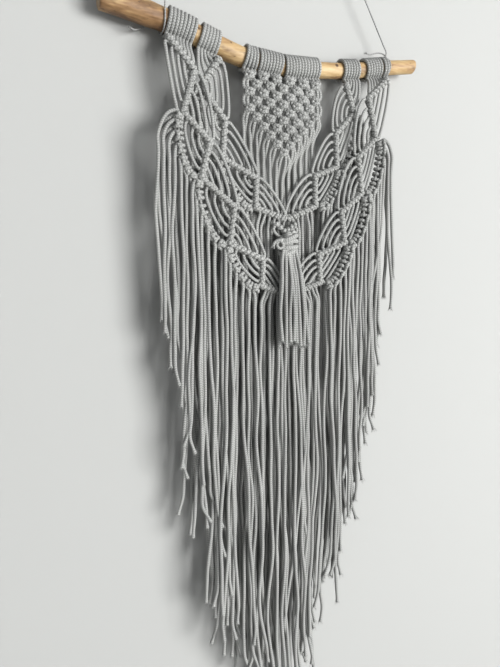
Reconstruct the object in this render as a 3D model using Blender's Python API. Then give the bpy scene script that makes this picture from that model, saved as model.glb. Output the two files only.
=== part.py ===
"""Macrame wall hanging on a peeled branch, hung from one nail by a thin twine.

The front faces -Y, the wall side +Y. The origin is the nail point that the twine hangs on.
All tables are in millimetres, X along the rod and Z up from the level that the inner garlands
hang at; `at` drops them below the nail and turns them into metres.
"""
import math
import random

import bmesh
import bpy
from mathutils import Vector

MM = 0.001
NAIL_HEIGHT = 338.0      # nail point above the level that Z = 0 stands for in the tables
GAP = 0.5                # clearance between pieces that touch
CORD = 4.2               # side of a square strand that stands for the 5 mm cord
BAR_HALF = 4.7           # half the width of a knotted bar
BAR_RISE = 2.8           # how far a bar's knots stand proud
BAR_CROWN = 0            # size of their top against their foot
STRAND_SHARE = 0.68      # part of a bar's cell that its strand takes
NEST_FILL = 0.8          # width of a nested strand against the step to the next one, at most

# The rod: x, z of its middle, radius
ROD = (
    (-238, 23, 14.8),
    (-189, 21, 14.6),
    (-139, 14, 13.2),
    (-97, 2, 12.8),
    (-47, -9, 12.2),
    (10, -11, 11.6),
    (74, -5, 10.9),
    (126, 3, 10.6),
    (174, 14, 10.3),
    (234, 25, 9.8),
)
ROD_SIDES = 10

# Wraps on the rod: first x, last x, number of cords folded over it
WRAPS = {
    "outer_garland_left": ((-157.6, -121.2, 4),),
    "outer_garland_right": ((139, 167, 3), (169.8, 179.2, 1)),
    "inner_garland_left": ((-115, -90, 3),),
    "inner_garland_right": ((99, 127, 3),),
    "center_panel": ((-54, 60, 12),),
}
WRAP_THICK = 4.6
WRAP_VALLEY = 3.2
TOP_HALF = 1.7           # half the width of a strand where it enters the wraps
TOP_INSET = 0.2          # from the wraps' inner side to that strand's
GARLAND_TOP = 2.0        # how far below the rod's middle the strands enter the wraps
PANEL_TOP_DROP = 3.0
WRAP_END = 3.0           # least distance of a wrap's inner rings from its ends

# Bar ends of each garland from the rod down: x, z
OUTER_LEFT = (
    (-160, -13),
    (-128, -43),
    (-145, -96),
    (-111, -128),
    (-124, -174),
    (-80, -207),
    (-88, -255),
    (-41, -274),
    (-44, -309),
    (-4.2, -321),
)
OUTER_RIGHT = (
    (173, -10),
    (136, -41),
    (147, -97),
    (116, -127),
    (120, -178),
    (85, -206),
    (89, -249),
    (46, -266),
    (47, -305),
    (-3.8, -321),
)
INNER_LEFT = (
    (-93, -27),
    (-114, -56),
    (-85, -96),
    (-90, -144),
    (-43, -166),
    (-45, -205),
    (0.8, -219),
)
INNER_RIGHT = (
    (101, -30),
    (117, -62),
    (86, -94),
    (86, -141),
    (49, -156),
    (48, -198),
    (1.2, -219),
)
OUTER_CORDS = 8
INNER_CORDS = 6
# How far the strands nested in a corner swing out, as a share of their length: on a garland's
# outward side, and on its inward side left and right
OUTWARD_SWING = 0.1
INWARD_SWING = (0.18, 0.32)
NEST_SPANS = (12, 24)    # strands longer than these get a second and a third stretch
CURVE_STEP = 0.02        # share of a curve that its direction is measured over

# Depth of each layer: z, y of its middle
OUTER_DEPTH = ((10, -15.5), (-40, -19.5), (-100, -22.5), (-210, -27.5), (-330, -32.5))
INNER_DEPTH = ((10, -15.0), (-25, -14.5), (-58, -10.5), (-110, -11.5), (-220, -18.0))
PANEL_DEPTH = ((0, -14.2), (-200, -14.2))
TIE_DEPTH = ((-200, -24.0), (-250, -24.0))

# The net of square knots
PANEL_ROWS = (6, 5, 6, 5, 6, 5, 4, 3, 2, 1)
PANEL_X = -1.0
PANEL_TOP = -36.0        # middle of the first row
KNOT_PITCH = 20.0
ROW_PITCH = 10.4
KNOT_SLANT = 2.8         # half the cord pair between two knots, measured along X or Z
KNOT_RISE = 3.0
KNOT_CROWN = 0.55        # size of a knot's top against its foot

# Fringe on a garland leaf: garland, corner that the leaf lies beside, strands,
# x where the first and last strand hang, y, how far the leaf bulges as a share of its length
LEAF_FRINGES = {
    "fringe_outer_left_1": ("outer_left", 3, 14, -178, -134.5, -24.2, 0.15),
    "fringe_outer_left_2": ("outer_left", 5, 12, -129.5, -98, -28.7, 0.15),
    "fringe_outer_left_3": ("outer_left", 7, 12, -92, -54, -33.2, 0.15),
    "fringe_outer_right_1": ("outer_right", 3, 14, 172, 130, -24.2, 0.15),
    "fringe_outer_right_2": ("outer_right", 5, 12, 125, 98, -28.7, 0.15),
    "fringe_outer_right_3": ("outer_right", 7, 12, 92, 57, -33.2, 0.15),
    "fringe_inner_left_1": ("inner_left", 2, 10, -122, -99, -10.7, 0.1),
    "fringe_inner_left_2": ("inner_left", 4, 14, -94, -56, -15.1, 0.1),
    "fringe_inner_right_1": ("inner_right", 2, 10, 124, 97, -10.7, 0.1),
    "fringe_inner_right_2": ("inner_right", 4, 14, 92, 57, -15.1, 0.1),
}
LEAF_SAG = 0.1           # how far a leaf sags at its lower end, as a share of its length
LOW_BULGE = 0.1          # how much more it bulges there than at its upper end
LEAF_END = 2.2           # clearance between its lower end and the bar there
LEAF_FALL = (7.0, 0.6)   # least drop to where a strand hangs straight, and for each mm sideways
ROW_OFFSET = 4.5         # from a leaf's middle to its front and back row of strands
ROW_STEP = 4.7           # least step from strand to strand in one row
ROOT_CLEAR = 8.2         # from a strand to the middle of a root that it passes
STRIP_DEPTH = 2.2        # half the depth of a fringe's backing strip
STRIP_INNER = 2.0        # height of its inner side over its middle line
STRIP_FOLD = (2.4, 3.8)  # height of its outer side between folded cords and on them

# Fringe below a pointed edge: path of the backing strip, strands, x of the first and last strand,
# y of the strip's middle, y of the front and back row
POINT_FRINGES = {
    "fringe_outer_tip": (((-41, -317.5), (-4, -328.5), (43, -314)), 16, -46, 46, -32.0, -34.0, -29.0),
    "fringe_inner_tip": (((-42, -213.5), (1, -226.5), (45, -207)), 12, -44, 44, -17.5, -19.5, -14.5),
    "fringe_center": (((-57, -76), (-1, -134), (55, -76)), 24, -56, 54, -9.4, -5.9, -1.1),
}
POINT_FALL = 12.0

# Where the trimmed fringe ends: x, z
TRIM = (
    (-178, -350),
    (-166, -395),
    (-155, -430),
    (-140, -490),
    (-130, -600),
    (-112, -650),
    (-100, -730),
    (-84, -795),
    (-55, -850),
    (-18, -925),
    (8, -905),
    (32, -830),
    (56, -775),
    (80, -715),
    (98, -630),
    (125, -525),
    (146, -440),
    (160, -350),
    (176, -300),
)
TRIM_SPREAD = 16.0       # how far strands end above or below that line

# The tassel
TIE_BARS = ((-22, -225), (-4, -236.5), (12, -225))
TIE_HALF = 4.0
TIE_LOOP = 5.0           # how far the loops beside the tie bars stand out
TASSEL_X = -2.0
TASSEL_COLUMNS = 8
HEAD_HALF = (12.6, 9.2)  # half width and half depth at scale 1
HEAD_Y = -33.0
# Turns of its wrapping: z, scale
HEAD_TURNS = (
    (-267, 0.92),
    (-263, 1.12),
    (-259, 1.02),
    (-255, 1.18),
    (-250.5, 1.06),
    (-246, 1.12),
    (-241.9, 0.75),
)
HEAD_SLANT = 0.12        # how much the turns rise towards +X
HEAD_ROUND = 0.7         # 0 for a boxy head seen from above, 1 for a round one
SKIRT_SHARE = 0.8        # widest a skirt strand may be, as a share of its column
# The skirt: z, half width, y of its front row, y of its back row
SKIRT = (
    (-277, 13.0, -42.5, -37.5),
    (-303, 18.0, -49.5, -43.5),
    (-385, 24.0, -54.5, -46.5),
)

# The hanger twine
TWINE = 2.4
NAIL_BEND = 3.7          # radius of the twine's middle over the nail
NAIL_ANGLES = (152, 122, 92, 62, 32)
NAIL_RUN = 6.0           # straight twine beside that bend
# Its turns round the rod: first x, last x, first angle, last angle, points. 0 is at the wall side
# and 90 on top
LEFT_LOOP = (-162.3, -162.0, 0, -183, 9)
RIGHT_LOOP = (184.2, 181.4, 40, -235, 12)
# Where it leaves them: x, y, z over the rod's middle
LEFT_FOOT = (-159.8, -11.5, 21.5)
RIGHT_FOOT = (183.8, 1.0, 23.0)
FOOT_RUN = 8.0           # straight twine above a turn
TWINE_SPAN = 3           # longest stretch on a curve, in twine thicknesses
STRAIGHT_SPAN = 60       # stretches past this are straight
# Its free ends: x, y, z over the rod's middle
LEFT_TAIL = (
    (-201, 4, -21),
    (-194, 11, -19),
    (-186, 16.5, -13),
    (-177, 19.6, -4),
    (-171.5, 19.8, 2.6),
    (-166, 17.9, 4.2),
)
RIGHT_TAIL = (
    (180.9, -1.5, 15.4),
    (178.6, 1.6, 18.2),
    (172, 4.5, 18.6),
    (163, 5.2, 17.4),
    (153, 3.4, 17.4),
    (144, 0.5, 17.2),
)

GREY = (0.47, 0.48, 0.47, 1)
TWINE_GREY = (0.40, 0.41, 0.40, 1)
WOOD = (0.58, 0.37, 0.19, 1)


def at(x, y, z):
    return Vector((x * MM, y * MM, (z - NAIL_HEIGHT) * MM))


def flat(x, z):
    return Vector((x, z))


def read(table, key, column=1):
    """Value of a table's column at a key in its first column, straight between rows."""
    rows = sorted(table)
    if key <= rows[0][0]:
        return rows[0][column]
    for low, high in zip(rows, rows[1:]):
        if key <= high[0]:
            part = (key - low[0]) / (high[0] - low[0])
            return low[column] + part * (high[column] - low[column])
    return rows[-1][column]


def turned(v):
    """The vector a quarter turn to the left, seen from the front."""
    return flat(-v.y, v.x)


def bezier(a, b, c, d, t):
    s = 1 - t
    return a * s**3 + b * (3 * s * s * t) + c * (3 * s * t * t) + d * t**3


def material(name, color, roughness):
    made = bpy.data.materials.new(name)
    made.use_nodes = True
    shader = made.node_tree.nodes["Principled BSDF"]
    shader.inputs["Base Color"].default_value = color
    shader.inputs["Roughness"].default_value = roughness
    shader.inputs["Metallic"].default_value = 0.0
    return made


def add_object(name, data, color=GREY, roughness=0.95):
    obj = bpy.data.objects.new(name, data)
    bpy.context.scene.collection.objects.link(obj)
    data.materials.append(material(name, color, roughness))
    return obj


def add_mesh(name, bm, color=GREY, roughness=0.95):
    bmesh.ops.recalc_face_normals(bm, faces=bm.faces)
    mesh = bpy.data.meshes.new(name)
    bm.to_mesh(mesh)
    bm.free()
    return add_object(name, mesh, color, roughness)


def skin(bm, rings):
    """Faces between rings of points that follow each other round the same way."""
    for first, second in zip(rings, rings[1:]):
        for side in range(len(first)):
            after = (side + 1) % len(first)
            bm.faces.new((first[side], first[after], second[after], second[side]))


# Rod and wraps

def rod_ring(bm, x, radius):
    ring = []
    for side in range(ROD_SIDES):
        angle = 2 * math.pi * (side + 0.5) / ROD_SIDES
        y = radius * math.cos(angle)
        z = read(ROD, x) + radius * math.sin(angle)
        ring.append(bm.verts.new(at(x, y, z)))
    return ring


def build_rod():
    bm = bmesh.new()
    rings = [rod_ring(bm, x, radius) for x, _, radius in ROD]
    skin(bm, rings)
    bm.faces.new(rings[0])
    bm.faces.new(rings[-1])
    rod = add_mesh("rod", bm, WOOD, 0.6)
    rod.data.shade_smooth()
    rod.data.set_sharp_from_angle(angle=math.radians(40))


def wrap_sleeve(first_x, last_x, folded):
    """Cords folded over the rod side by side, one ridge for each of them."""
    bm = bmesh.new()
    pitch = (last_x - first_x) / folded
    outer = []
    for step in range(2 * folded + 1):
        x = first_x + step * pitch / 2
        thick = WRAP_THICK if step % 2 else WRAP_VALLEY
        outer.append(rod_ring(bm, x, read(ROD, x, 2) + GAP + thick))
    inner_x = [x for x, _, _ in ROD if first_x + WRAP_END < x < last_x - WRAP_END]
    inner_x = [first_x] + inner_x + [last_x]
    inner = [rod_ring(bm, x, read(ROD, x, 2) + GAP) for x in inner_x]
    skin(bm, outer + inner[::-1] + outer[:1])
    return bm


def add_wraps(owner):
    """Fuses a piece's wraps to the strands that hang from them."""
    for number, row in enumerate(WRAPS[owner.name]):
        sleeve = add_mesh("%s_wraps_%d" % (owner.name, number), wrap_sleeve(*row))
        sleeve.hide_render = True
        sleeve.display_type = "WIRE"
        union = owner.modifiers.new("wraps_%d" % number, "BOOLEAN")
        union.operation = "UNION"
        union.solver = "EXACT"
        union.object = sleeve


def cord_places(wraps):
    """x of each strand that leaves the wraps, two for each folded cord."""
    places = []
    for first_x, last_x, folded in wraps:
        pitch = (last_x - first_x) / (2 * folded)
        places += [first_x + (number + 0.5) * pitch for number in range(2 * folded)]
    return places


def strand_top(sheet, x, below):
    """The point of a strand that lies just inside the wraps, on the front of the rod."""
    y = -(read(ROD, x, 2) + GAP + TOP_INSET + CORD / 2)
    return sheet.point(flat(x, read(ROD, x) - below), y)


# Flat networks of strands and bars

class Sheet:
    """A network of strips with a front skin, a back skin and walls between them."""

    def __init__(self, depth):
        self.bm = bmesh.new()
        self.depth = depth
        self.front = []
        self.back = []
        self.place = []
        self.used = set()

    def point(self, p, y=None):
        """Adds a point of the network; y is its middle depth where the layer's own isn't right."""
        middle = read(self.depth, p.y) if y is None else y
        self.front.append(self.bm.verts.new(at(p.x, middle - CORD / 2, p.y)))
        self.back.append(self.bm.verts.new(at(p.x, middle + CORD / 2, p.y)))
        self.place.append(p)
        return len(self.front) - 1

    def raised(self, p, rise):
        return self.bm.verts.new(at(p.x, read(self.depth, p.y) - CORD / 2 - rise, p.y))

    def back_face(self, loop):
        self.bm.faces.new([self.back[i] for i in reversed(loop)])
        self.used.update(zip(loop, loop[1:] + loop[:1]))

    def cell(self, loop):
        """A plain face, its points anticlockwise from the front."""
        self.bm.faces.new([self.front[i] for i in loop])
        self.back_face(loop)

    def crowned(self, loop, rise, size):
        """A face that stands up as a knot, its top `size` times its foot."""
        middle = sum((self.place[i] for i in loop), flat(0, 0)) / len(loop)
        if size:
            crown = [self.raised(middle.lerp(self.place[i], size), rise) for i in loop]
            self.bm.faces.new(crown)
        else:
            crown = [self.raised(middle, rise)] * len(loop)
        for number, i in enumerate(loop):
            after = (number + 1) % len(loop)
            ring = [self.front[i], self.front[loop[after]], crown[after], crown[number]]
            self.bm.faces.new(ring if size else ring[:3])
        self.back_face(loop)

    def strip(self, start, end, curve, steps, sign, half=CORD / 2):
        """A strand along a curve from one pair of points to another, outer point first."""
        rows = [start]
        for step in range(1, steps):
            t = step / steps
            here = bezier(*curve, t)
            ahead = bezier(*curve, t + CURVE_STEP) - bezier(*curve, t - CURVE_STEP)
            side = turned(ahead.normalized()) * (sign * half)
            rows.append((self.point(here + side), self.point(here - side)))
        rows.append(end)
        for (outer, inner), (next_outer, next_inner) in zip(rows, rows[1:]):
            loop = [outer, inner, next_inner, next_outer]
            self.cell(loop if sign > 0 else loop[::-1])

    def close(self, name):
        """Adds the walls along every open edge, and the finished object."""
        for a, b in sorted(self.used):
            if (b, a) not in self.used:
                self.bm.faces.new((self.back[a], self.back[b], self.front[b], self.front[a]))
        return add_mesh(name, self.bm)


def miters(corners, half):
    """Left and right point at each bar end, shared by the bars that meet there. The last end is
    cut upright, because the other side's bars meet it."""
    found = []
    for number, corner in enumerate(corners):
        before = corners[max(number, 1)] - corners[max(number, 1) - 1]
        last = len(corners) - 2
        after = corners[min(number, last) + 1] - corners[min(number, last)]
        normal = (turned(before.normalized()) + turned(after.normalized())).normalized()
        if number > last:
            normal = flat(0, math.copysign(1, normal.y))
        reach = half / normal.dot(turned(after.normalized()))
        found.append((corner + normal * reach, corner - normal * reach))
    return found


def bar_shares(cells):
    """Shares of a bar's length: its end, then where each strand begins and ends, its other end."""
    margin = (1 - STRAND_SHARE) / 2
    shares = [0.0]
    for cell in range(cells):
        shares += [(cell + margin) / cells, (cell + 1 - margin) / cells]
    return shares + [1.0]


def zigzag(sheet, corners, cells, half=BAR_HALF):
    """Bars from corner to corner with a knot's ridge for each of their strands; returns the
    points along their left and right sides."""
    ends = miters(corners, half)
    sides = []
    for bar in range(len(corners) - 1):
        lines = [sides[-1][-1]] if bar else []
        for number, share in enumerate(bar_shares(cells)):
            if number or not bar:
                lines.append([sheet.point(ends[bar][s].lerp(ends[bar + 1][s], share))
                              for s in (0, 1)])
            if number:
                loop = [lines[-2][0], lines[-2][1], lines[-1][1], lines[-1][0]]
                if number % 2:
                    sheet.cell(loop)
                else:
                    sheet.crowned(loop, BAR_RISE, BAR_CROWN)
        sides.append(lines)
    return [[[line[s] for line in lines] for lines in sides] for s in (0, 1)]


class Garland:
    """A zigzag of bars with the strands nested in each of its corners. One cord leads along the
    bars and the others are knotted on it, so each bar has a cell for each of those."""

    def __init__(self, name, corners, cords, depth):
        self.name = name
        self.corners = [flat(*corner) for corner in corners]
        self.cells = cords - 1
        self.sheet = Sheet(depth)
        self.left, self.right = zigzag(self.sheet, self.corners, self.cells)

    def heading(self, bar):
        return (self.corners[bar + 1] - self.corners[bar]).normalized()

    def mount(self, corner, strand):
        """Where a nested strand leaves the bar above a corner and enters the bar below: the point
        pairs, the middles, the ways it leaves them, and the side that the nest lies on."""
        turn = self.heading(corner - 1).cross(self.heading(corner))
        sign = 1 if turn > 0 else -1
        lists = self.left if turn > 0 else self.right
        above = lists[corner - 1]
        below = lists[corner]
        first = 1 + 2 * strand
        last = 1 + 2 * (self.cells - 1 - strand)
        start = (above[first], above[first + 1])
        end = (below[last + 1], below[last])
        place = self.sheet.place
        middles = [(place[a] + place[b]) / 2 for a, b in (start, end)]
        ways = [turned(self.heading(bar)) * sign for bar in (corner - 1, corner)]
        return start, end, middles, ways, sign

    def nest(self, corner, first_strand):
        strands = []
        for strand in range(self.cells):
            start, end, (p, q), (leave, enter), sign = self.mount(corner, strand)
            inward = leave.x * p.x < 0
            swing = INWARD_SWING[p.x > 0] if inward else OUTWARD_SWING
            reach = swing * (q - p).length
            strands.append((start, end, (p, p + leave * reach, q + enter * reach, q)))
        middles = [bezier(*curve, 0.5) for _, _, curve in strands]
        for strand in range(first_strand, self.cells):
            start, end, curve = strands[strand]
            beside = strand + 1 if strand + 1 < self.cells else strand - 1
            half = min(CORD, NEST_FILL * (middles[strand] - middles[beside]).length) / 2
            span = (curve[3] - curve[0]).length
            steps = 1 + sum(span > least for least in NEST_SPANS)
            self.sheet.strip(start, end, curve, steps, sign, half)

    def hang(self, wraps):
        """The strands from the wraps down to the first bar, the leader to its end."""
        places = cord_places(wraps)
        rightwards = self.corners[1].x > self.corners[0].x
        if rightwards:
            side = self.left[0]
            pairs = [(side[k], side[k + 1]) for k in range(1, 2 * self.cells, 2)]
            leader = places[0]
            others = places[1:]
        else:
            side = self.right[0]
            pairs = [(side[k + 1], side[k]) for k in range(2 * self.cells - 1, 0, -2)]
            leader = places[-1]
            others = places[:-1]
        self.drop(self.right[0][0], self.left[0][0], leader)
        for (a, b), x in zip(pairs, others):
            self.drop(a, b, x)

    def drop(self, a, b, x):
        """One strand up from points a and b, left and right, into the wrap at x."""
        tops = [strand_top(self.sheet, top_x, GARLAND_TOP) for top_x in (x + TOP_HALF, x - TOP_HALF)]
        self.sheet.cell([a, b] + tops)

    def build(self, fringed):
        for corner in range(1, len(self.corners) - 1):
            self.nest(corner, 1 if corner in fringed else 0)
        wraps = WRAPS[self.name]
        self.hang(wraps)
        add_wraps(self.sheet.close(self.name))


def build_panel():
    """Alternating square knots: each is an eight-sided cell that shares its four slanted edges
    with the knots above and below it, so the gaps between them are open."""
    sheet = Sheet(PANEL_DEPTH)
    long = KNOT_PITCH / 4 + KNOT_SLANT
    tall = ROW_PITCH / 2 + KNOT_SLANT
    shape = (
        (long, -(ROW_PITCH / 2 - KNOT_SLANT)),
        (long, ROW_PITCH / 2 - KNOT_SLANT),
        (KNOT_PITCH / 4 - KNOT_SLANT, tall),
        (-(KNOT_PITCH / 4 - KNOT_SLANT), tall),
        (-long, ROW_PITCH / 2 - KNOT_SLANT),
        (-long, -(ROW_PITCH / 2 - KNOT_SLANT)),
        (-(KNOT_PITCH / 4 - KNOT_SLANT), -tall),
        (KNOT_PITCH / 4 - KNOT_SLANT, -tall),
    )
    known = {}

    def shared(x, z):
        key = (round(x * 10), round(z * 10))
        if key not in known:
            known[key] = sheet.point(flat(x, z))
        return known[key]

    knots = []
    for row, count in enumerate(PANEL_ROWS):
        z = PANEL_TOP - row * ROW_PITCH
        line = []
        for number in range(count):
            x = PANEL_X + (number - (count - 1) / 2) * KNOT_PITCH
            line.append([shared(x + dx, z + dz) for dx, dz in shape])
            sheet.crowned(line[-1], KNOT_RISE, KNOT_CROWN)
        knots.append(line)
    # Edge cords run straight down past the shorter rows
    for row in range(0, len(PANEL_ROWS) - 2):
        if PANEL_ROWS[row] == PANEL_ROWS[row + 2]:
            upper = knots[row]
            lower = knots[row + 2]
            if PANEL_ROWS[row] == max(PANEL_ROWS):
                sheet.cell([upper[-1][7], lower[-1][2], lower[-1][1], upper[-1][0]])
                sheet.cell([upper[0][5], lower[0][4], lower[0][3], upper[0][6]])
    # Pairs of cords from the wraps into the first row
    places = cord_places(WRAPS["center_panel"])
    for number, knot in enumerate(knots[0]):
        pairs = ((knot[4], knot[3], places[4 * number: 4 * number + 2]),
                 (knot[2], knot[1], places[4 * number + 2: 4 * number + 4]))
        for a, b, (first_x, last_x) in pairs:
            tops = [strand_top(sheet, x, PANEL_TOP_DROP)
                    for x in (last_x + TOP_HALF, first_x - TOP_HALF)]
            sheet.cell([a, b] + tops)
    add_wraps(sheet.close("center_panel"))


# Fringe

def strand_ring(bm, x, y, z, side, away, half=CORD / 2):
    """Four corners of a strand, from the one on its `side` and `away` from its backing."""
    corners = ((1, 1), (1, -1), (-1, -1), (-1, 1))
    return [bm.verts.new(at(x + s * side * half, y + d * away * half, z)) for s, d in corners]


def hang_strand(bm, base, rings):
    skin(bm, [base] + rings)
    bm.faces.new(rings[-1])


def backing(bm, line, cells, sign, y):
    """A strip along `line`, a function from 0 to 1; returns its cross-sections, each a list of
    its inner front, inner back, outer back and outer front corner."""
    rings = []
    for number in range(cells + 1):
        t = number / cells
        ahead = line(min(t + CURVE_STEP / 2, 1)) - line(max(t - CURVE_STEP / 2, 0))
        out = turned(ahead.normalized()) * sign
        outer = line(t) + out * STRIP_FOLD[number % 2]
        inner = line(t) - out * STRIP_INNER
        rings.append([bm.verts.new(at(p.x, y + d * STRIP_DEPTH, p.y))
                      for p, d in ((inner, -1), (inner, 1), (outer, 1), (outer, -1))])
    bm.faces.new(rings[0])
    bm.faces.new(rings[-1])
    return rings


def strip_faces(bm, first, second, root):
    """The sides of one stretch of a backing, but for the one that its strand grows out of."""
    for a, b in ((0, 1), (1, 2), (2, 3), (3, 0)):
        if (a, b) != root:
            bm.faces.new((first[a], first[b], second[b], second[a]))


def trimmed(x, chance):
    return read(TRIM, x) + chance.uniform(-TRIM_SPREAD, TRIM_SPREAD)


def leaf_places(first_x, last_x, root_x, side):
    """x where each strand of a leaf hangs: outside the strands and roots below it in its row."""
    count = len(root_x)
    places = [side * (first_x + (last_x - first_x) * number / (count - 1))
              for number in range(count)]
    for number in reversed(range(count - 2)):
        places[number] = max(places[number], places[number + 2] + ROW_STEP,
                             side * root_x[number + 2] + ROOT_CLEAR)
    return [side * x for x in places]


def build_leaf_fringe(name, garlands):
    """Strands that fold over the cord along a leaf and hang in front of it and behind it."""
    owner, corner, strands, first_x, last_x, y, bulge = LEAF_FRINGES[name]
    garland = garlands[owner]
    _, _, (p, q), (leave, enter), sign = garland.mount(corner, 0)
    span = (q - p).length
    curve = (p + leave * GAP, p + leave * (bulge * span),
             q + enter * ((bulge + LOW_BULGE) * span) + flat(0, -LEAF_SAG * span),
             q + enter * LEAF_END)
    side = math.copysign(1, first_x)
    hang_x = leaf_places(first_x, last_x, [bezier(*curve, (number + 0.5) / strands).x
                                           for number in range(strands)], side)
    bm = bmesh.new()
    chance = random.Random(name)
    rings = backing(bm, lambda t: bezier(*curve, t), strands, sign, y)
    for number in range(strands):
        first, second = rings[number:number + 2]
        away = 1 if number % 2 else -1
        root = (1, 2) if number % 2 else (3, 0)
        strip_faces(bm, first, second, root)
        outer, inner = (2, 1) if number % 2 else (3, 0)
        base = [first[outer], second[outer], second[inner], first[inner]]
        t = (number + 0.5) / strands
        here = bezier(*curve, t)
        ahead = bezier(*curve, t + CURVE_STEP) - here
        if abs(ahead.x) > abs(ahead.y):
            base = base[-1:] + base[:-1]
        x = hang_x[number]
        fall = max(LEAF_FALL[0], LEAF_FALL[1] * abs(x - here.x))
        hang_strand(bm, base, [
            strand_ring(bm, x, y + away * ROW_OFFSET, here.y - fall, side, away),
            strand_ring(bm, x, y + away * ROW_OFFSET, trimmed(x, chance), side, away),
        ])
    add_mesh(name, bm)


def build_point_fringe(name):
    """Strands that hang from the underside of a strip in a V, in two rows."""
    path, strands, first_x, last_x, y, front_y, back_y = POINT_FRINGES[name]
    a, b, c = (flat(*p) for p in path)

    def line(t):
        return a.lerp(b, 2 * t) if t < 0.5 else b.lerp(c, 2 * t - 1)

    bm = bmesh.new()
    chance = random.Random(name)
    rings = backing(bm, line, strands, -1, y)
    for number in range(strands):
        first, second = rings[number:number + 2]
        strip_faces(bm, first, second, (2, 3))
        slope = rings[number + 1][0].co - rings[number][0].co
        lean = STRIP_FOLD[1] * slope.z / slope.length
        x = first_x + (last_x - first_x) * number / (strands - 1) + lean
        row_y = back_y if number % 2 else front_y
        fall = line((number + 0.5) / strands).y - POINT_FALL
        hang_strand(bm, [first[3], first[2], second[2], second[3]], [
            strand_ring(bm, x, row_y, fall, -1, -1),
            strand_ring(bm, x, row_y, trimmed(x, chance), -1, -1),
        ])
    add_mesh(name, bm)


# Tassel

def build_ties():
    sheet = Sheet(TIE_DEPTH)
    _, right = zigzag(sheet, [flat(*p) for p in TIE_BARS], 3, TIE_HALF)
    for bar in right:
        start = (bar[1], bar[2])
        end = (bar[6], bar[5])
        p = (sheet.place[start[0]] + sheet.place[start[1]]) / 2
        q = (sheet.place[end[0]] + sheet.place[end[1]]) / 2
        out = turned((q - p).normalized()) * -TIE_LOOP
        sheet.strip(start, end, (p, p + out, q + out, q), 3, -1)
    sheet.close("tassel_ties")


def build_tassel():
    """A wrapped head whose underside is a grid of faces, and a skirt strand from each of them."""
    bm = bmesh.new()
    columns = TASSEL_COLUMNS

    def head_point(column, row, z, scale):
        across = 2 * column / columns - 1
        deep = (row - 1) * math.sqrt(1 - HEAD_ROUND * across * across)
        x = across * HEAD_HALF[0] * scale
        y = HEAD_Y + deep * HEAD_HALF[1] * scale
        return bm.verts.new(at(TASSEL_X + x, y, z + HEAD_SLANT * x))

    border = [(i, 0) for i in range(columns + 1)] + [(columns, 1)]
    border += [(i, 2) for i in range(columns, -1, -1)] + [(0, 1)]
    z, scale = HEAD_TURNS[0]
    grid = {(i, j): head_point(i, j, z, scale) for i in range(columns + 1) for j in range(3)}
    rings = [[grid[key] for key in border]]
    for z, scale in HEAD_TURNS[1:]:
        rings.append([head_point(i, j, z, scale) for i, j in border])
    skin(bm, rings)
    bm.faces.new(rings[-1])
    for i in range(columns):
        for j in (0, 1):
            base = [grid[i, j], grid[i, j + 1], grid[i + 1, j + 1], grid[i + 1, j]]
            hang = []
            for z, half_width, front_y, back_y in SKIRT:
                x = TASSEL_X + (2 * (i + 0.5) / columns - 1) * half_width
                half = min(CORD / 2, SKIRT_SHARE * half_width / columns)
                hang.append(strand_ring(bm, x, (front_y, back_y)[j], z, -1, -1, half))
            hang_strand(bm, base, hang)
    add_mesh("tassel", bm)


# Hanger

def around_rod(first_x, last_x, first_angle, last_angle, count):
    points = []
    for number in range(count):
        part = number / (count - 1)
        angle = math.radians(first_angle + part * (last_angle - first_angle))
        x = first_x + (last_x - first_x) * part
        radius = read(ROD, x, 2) + GAP + TWINE / 2
        points.append(Vector((x, radius * math.cos(angle), read(ROD, x) + radius * math.sin(angle))))
    return points


def smooth_points(route, longest):
    """Points on a smooth curve through the route, none of its short stretches past `longest`."""
    ways = [(b - a).normalized() for a, b in zip(route, route[1:])]
    ways = [(a + b).normalized() for a, b in zip(ways[:1] + ways, ways + ways[-1:])]
    points = []
    for a, b, way, next_way in zip(route, route[1:], ways, ways[1:]):
        span = (b - a).length
        count = 1 if span > STRAIGHT_SPAN else math.ceil(span / longest)
        for step in range(count):
            reach = span / 3
            points.append(bezier(a, a + way * reach, b - next_way * reach, b, step / count))
    return points + [route[-1]]


def over_rod(x, y, z):
    """A point given by its height over the rod's middle."""
    return Vector((x, y, read(ROD, x) + z))


def build_hanger():
    """One twine: a tail behind the rod, a turn round it, up over the nail and down to a full turn
    round the rod's other end, its tail on top of the wraps."""
    left = around_rod(*LEFT_LOOP)
    right = around_rod(*RIGHT_LOOP)
    center = Vector((0, 0, NAIL_HEIGHT + TWINE / 2 - NAIL_BEND))
    bend = [center + Vector((math.cos(a), 0, math.sin(a))) * NAIL_BEND
            for a in map(math.radians, NAIL_ANGLES)]
    left_foot = over_rod(*LEFT_FOOT)
    right_foot = over_rod(*RIGHT_FOOT)
    left_line = (bend[0] - left_foot).normalized()
    right_line = (right_foot - bend[-1]).normalized()
    route = [over_rod(*p) for p in LEFT_TAIL] + left
    route += [left_foot, left_foot + left_line * FOOT_RUN, bend[0] - left_line * NAIL_RUN] + bend
    route += [bend[-1] + right_line * NAIL_RUN, right_foot - right_line * FOOT_RUN, right_foot]
    route += right + [over_rod(*p) for p in RIGHT_TAIL]
    points = [at(*p) for p in smooth_points(route, TWINE_SPAN * TWINE)]
    curve = bpy.data.curves.new("hanger_cord", "CURVE")
    curve.dimensions = "3D"
    curve.bevel_depth = TWINE / 2 * MM
    curve.bevel_resolution = 2
    curve.use_fill_caps = True
    spline = curve.splines.new("POLY")
    spline.points.add(len(points) - 1)
    for target, p in zip(spline.points, points):
        target.co = (*p, 1)
    add_object("hanger_cord", curve, TWINE_GREY)


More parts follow.
